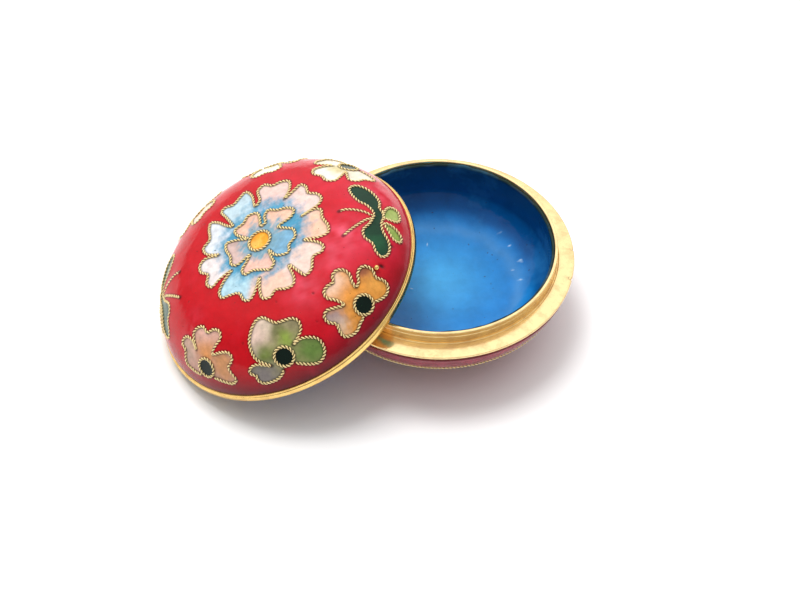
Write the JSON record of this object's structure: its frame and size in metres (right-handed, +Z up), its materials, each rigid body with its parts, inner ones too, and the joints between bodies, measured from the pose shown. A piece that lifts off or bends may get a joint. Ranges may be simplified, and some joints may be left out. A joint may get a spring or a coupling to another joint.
{
  "type": "pill box",
  "caption": "Small round domed box in enamelled copper with gilt rims and wire-bounded flowers; its lift-off lid leans open on the bowl.",
  "frame": {"origin": "middle of the resting pair of bowl and leaning lid, on the table", "axes": "+Z up; the bowl lies towards +X and the lid leans on it from -X"},
  "size_m": [0.0734, 0.053, 0.0277],
  "materials": {
    "gilt": "polished gilt, fine turning lines",
    "wire": "gilt twisted wire, worn bright",
    "copper": "dull spun copper",
    "red_enamel": "glossy fired enamel",
    "blue_enamel": "glossy fired enamel with small pits",
    "sky_enamel": "glossy, shading to pink white",
    "peach_enamel": "glossy, shading to grey",
    "orange_enamel": "glossy, shading to peach",
    "olive_enamel": "glossy, shading to pink",
    "cream_enamel": "glossy, near white",
    "dark_green_enamel": "glossy, deep and clear",
    "leaf_enamel": "glossy, light green"
  },
  "bodies": {
    "bowl": {"bowl_rim_and_neck": "gilt", "bowl_copper_shell": "copper", "bowl_ground_enamel": "red_enamel", "bowl_belt_wire": "wire", "bowl_underside_enamel": "blue_enamel", "bowl_lining_enamel": "blue_enamel", "bowl_foot_ring": "gilt"},
    "lid": {"flower_outer_wire": "wire", "flower_inner_wire": "wire", "flower_disc_wire": "wire", "flower_outer_enamel": "sky_enamel", "flower_inner_enamel": "peach_enamel", "flower_disc_enamel": "orange_enamel", "blossom_1_petal_wire": "wire", "blossom_1_disc_wire": "wire", "blossom_1_petal_enamel": "peach_enamel", "blossom_1_disc_enamel": "dark_green_enamel", "blossom_2_petal_wire": "wire", "blossom_2_disc_wire": "wire", "blossom_2_petal_enamel": "olive_enamel", "blossom_2_disc_enamel": "dark_green_enamel", "blossom_3_petal_wire": "wire", "blossom_3_disc_wire": "wire", "blossom_3_petal_enamel": "orange_enamel", "blossom_3_disc_enamel": "dark_green_enamel", "blossom_4_petal_wire": "wire", "blossom_4_disc_wire": "wire", "blossom_4_petal_enamel": "cream_enamel", "blossom_4_disc_enamel": "dark_green_enamel", "blossom_5_petal_wire": "wire", "blossom_5_disc_wire": "wire", "blossom_5_petal_enamel": "cream_enamel", "blossom_5_disc_enamel": "dark_green_enamel", "blossom_6_petal_wire": "wire", "blossom_6_disc_wire": "wire", "blossom_6_petal_enamel": "peach_enamel", "blossom_6_disc_enamel": "dark_green_enamel", "butterfly_1_wing_wire": "wire", "butterfly_1_wing_enamel": "dark_green_enamel", "butterfly_1_tail_wire_1": "wire", "butterfly_1_tail_enamel_1": "leaf_enamel", "butterfly_1_antenna_1": "wire", "butterfly_1_tail_wire_2": "wire", "butterfly_1_tail_enamel_2": "leaf_enamel", "butterfly_1_antenna_2": "wire", "butterfly_2_wing_wire": "wire", "butterfly_2_wing_enamel": "dark_green_enamel", "butterfly_2_tail_wire_1": "wire", "butterfly_2_tail_enamel_1": "leaf_enamel", "butterfly_2_antenna_1": "wire", "butterfly_2_tail_wire_2": "wire", "butterfly_2_tail_enamel_2": "leaf_enamel", "butterfly_2_antenna_2": "wire", "gilt_bead": "gilt", "lid_rim_band": "gilt", "lid_copper_dome": "copper", "lid_lining_enamel": "blue_enamel", "lid_ground_enamel": "red_enamel"}
  },
  "joints": [
    {"name": "lid_lift", "type": "slide", "parent": "bowl", "child": "lid", "axis": [0, 0, 1], "range_m": [0, 0.03]}
  ]
}
